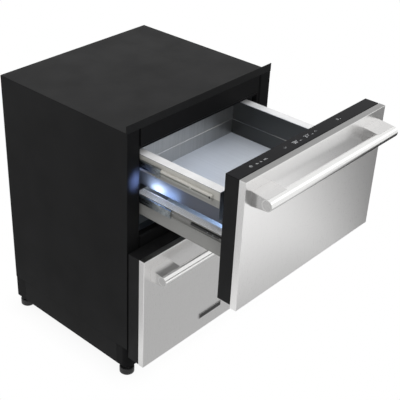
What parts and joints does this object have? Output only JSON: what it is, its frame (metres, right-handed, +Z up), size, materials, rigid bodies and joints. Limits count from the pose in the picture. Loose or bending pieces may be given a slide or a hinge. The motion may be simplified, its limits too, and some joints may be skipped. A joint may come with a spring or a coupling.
{
  "type": "undercounter drawer refrigerator",
  "caption": "Undercounter refrigerator with two pull-out drawers on telescopic slides, steel fronts with bar handles, a lift-out bin above a basket, and levelling feet.",
  "frame": {"origin": "on the floor under the middle of the whole part's bounding box, with the upper drawer open as pictured", "axes": "+X to the right of someone facing the fronts, +Y from the fronts to the rear, +Z up"},
  "size_m": [0.609, 0.9911, 0.867],
  "materials": {
    "black_shell": "satin black powder coat",
    "dark_frame": "satin dark grey moulding",
    "liner": "smooth light grey",
    "foam": "rigid polyurethane foam",
    "zinc_steel": "bright zinc plate",
    "machine_black": "gloss black enamel",
    "black_rubber": "matte",
    "grey_rubber": "matte magnetic seal",
    "black_plastic": "fine texture",
    "foot_plastic": "satin",
    "copper": "drawn copper tube",
    "fin_aluminium": "mill finish fins",
    "stainless": "fine brushed, near polished",
    "beige_plastic": "fine lengthwise ribs",
    "grey_plastic": "satin grey-green",
    "black_core": "satin black",
    "black_glass": "gloss black touch panel",
    "lamp_blue": "frosted diffuser"
  },
  "bodies": {
    "cabinet": {"side_panels": "black_shell", "top_panel": "black_shell", "rear_panel": "black_shell", "top_lip": "black_shell", "front_stiles": "dark_frame", "front_rails": "dark_frame", "liner_walls": "liner", "liner_floor": "liner", "foam_insulation": "foam", "base_pan": "black_shell", "corner_posts": "dark_frame", "kick_grille": "dark_frame", "rear_cover": "black_shell", "cover_screws": "zinc_steel", "compressor": "machine_black", "compressor_mounts": "black_rubber", "condenser": "machine_black", "fan_shroud": "black_plastic", "filter_drier": "copper", "refrigerant_tubes": "copper", "drain_pan": "black_plastic", "control_boxes": "black_plastic", "power_inlet": "black_plastic", "evaporator": "fin_aluminium", "evaporator_cover": "liner", "led_lamps": "lamp_blue", "bin_slide_outer": "zinc_steel", "drawer_slide_outer": "zinc_steel"},
    "condenser_fan": {"condenser_fan": "black_plastic"},
    "evaporator_fan": {"evaporator_fan": "liner"},
    "foot_front_left": {"foot_front_left": "foot_plastic"},
    "foot_front_right": {"foot_front_right": "foot_plastic"},
    "foot_rear_left": {"foot_rear_left": "foot_plastic"},
    "foot_rear_right": {"foot_rear_right": "foot_plastic"},
    "bin_slide_mid": {"bin_slide_mid": "zinc_steel"},
    "upper_bin": {"bin_slide_inner": "zinc_steel", "bin_pan": "stainless", "bin_rails": "beige_plastic", "bin_shelf": "stainless"},
    "upper_slide_mid": {"upper_slide_mid": "zinc_steel"},
    "upper_drawer": {"upper_slide_inner": "zinc_steel", "upper_basket": "grey_plastic", "basket_brackets": "black_plastic", "slide_screws": "zinc_steel", "upper_core": "black_core", "upper_gasket": "grey_rubber", "upper_facing": "stainless", "control_strip": "black_glass", "upper_handle_bar": "stainless", "upper_handle_brackets": "stainless"},
    "lower_slide_mid": {"lower_slide_mid": "zinc_steel"},
    "lower_drawer": {"lower_slide_inner": "zinc_steel", "lower_slide_screws": "zinc_steel", "lower_basket": "grey_plastic", "lower_core": "black_core", "lower_gasket": "grey_rubber", "lower_facing": "stainless", "lower_handle_bar": "stainless", "lower_handle_brackets": "stainless", "badge_plate": "stainless"}
  },
  "joints": [
    {"name": "upper_drawer_slide", "type": "slide", "parent": "cabinet", "child": "upper_drawer", "axis": [0, -1, 0], "range_m": [-0.327, 0.023]},
    {"name": "upper_bin_slide", "type": "slide", "parent": "cabinet", "child": "upper_bin", "axis": [0, -1, 0], "range_m": [-0.327, 0.023]},
    {"name": "bin_slide_mid_travel", "type": "slide", "parent": "cabinet", "child": "bin_slide_mid", "axis": [0, -1, 0], "range_m": [-0.1635, 0.0115]},
    {"name": "upper_slide_mid_travel", "type": "slide", "parent": "cabinet", "child": "upper_slide_mid", "axis": [0, -1, 0], "range_m": [-0.1635, 0.0115]},
    {"name": "lower_drawer_slide", "type": "slide", "parent": "cabinet", "child": "lower_drawer", "axis": [0, -1, 0], "range_m": [0, 0.35]},
    {"name": "lower_slide_mid_travel", "type": "slide", "parent": "cabinet", "child": "lower_slide_mid", "axis": [0, -1, 0], "range_m": [0, 0.175]},
    {"name": "foot_front_left_turn", "type": "hinge", "parent": "cabinet", "child": "foot_front_left", "pos_m": [-0.2792, -0.01465, 0], "axis": [0, 0, 1], "continuous": true},
    {"name": "foot_front_right_turn", "type": "hinge", "parent": "cabinet", "child": "foot_front_right", "pos_m": [0.2792, -0.01465, 0], "axis": [0, 0, 1], "continuous": true},
    {"name": "foot_rear_left_turn", "type": "hinge", "parent": "cabinet", "child": "foot_rear_left", "pos_m": [-0.2792, 0.47175, 0], "axis": [0, 0, 1], "continuous": true},
    {"name": "foot_rear_right_turn", "type": "hinge", "parent": "cabinet", "child": "foot_rear_right", "pos_m": [0.2792, 0.47175, 0], "axis": [0, 0, 1], "continuous": true},
    {"name": "condenser_fan_spin", "type": "hinge", "parent": "cabinet", "child": "condenser_fan", "pos_m": [-0.158, 0.4337, 0.1268], "axis": [0, 1, 0], "continuous": true},
    {"name": "evaporator_fan_spin", "type": "hinge", "parent": "cabinet", "child": "evaporator_fan", "pos_m": [0, 0.41655, 0.57], "axis": [0, 1, 0], "continuous": true}
  ],
  "couplings": [
    {"joint": "upper_bin_slide", "follows": "upper_drawer_slide", "ratio": 1},
    {"joint": "bin_slide_mid_travel", "follows": "upper_drawer_slide", "ratio": 0.5},
    {"joint": "upper_slide_mid_travel", "follows": "upper_drawer_slide", "ratio": 0.5},
    {"joint": "lower_slide_mid_travel", "follows": "lower_drawer_slide", "ratio": 0.5}
  ]
}
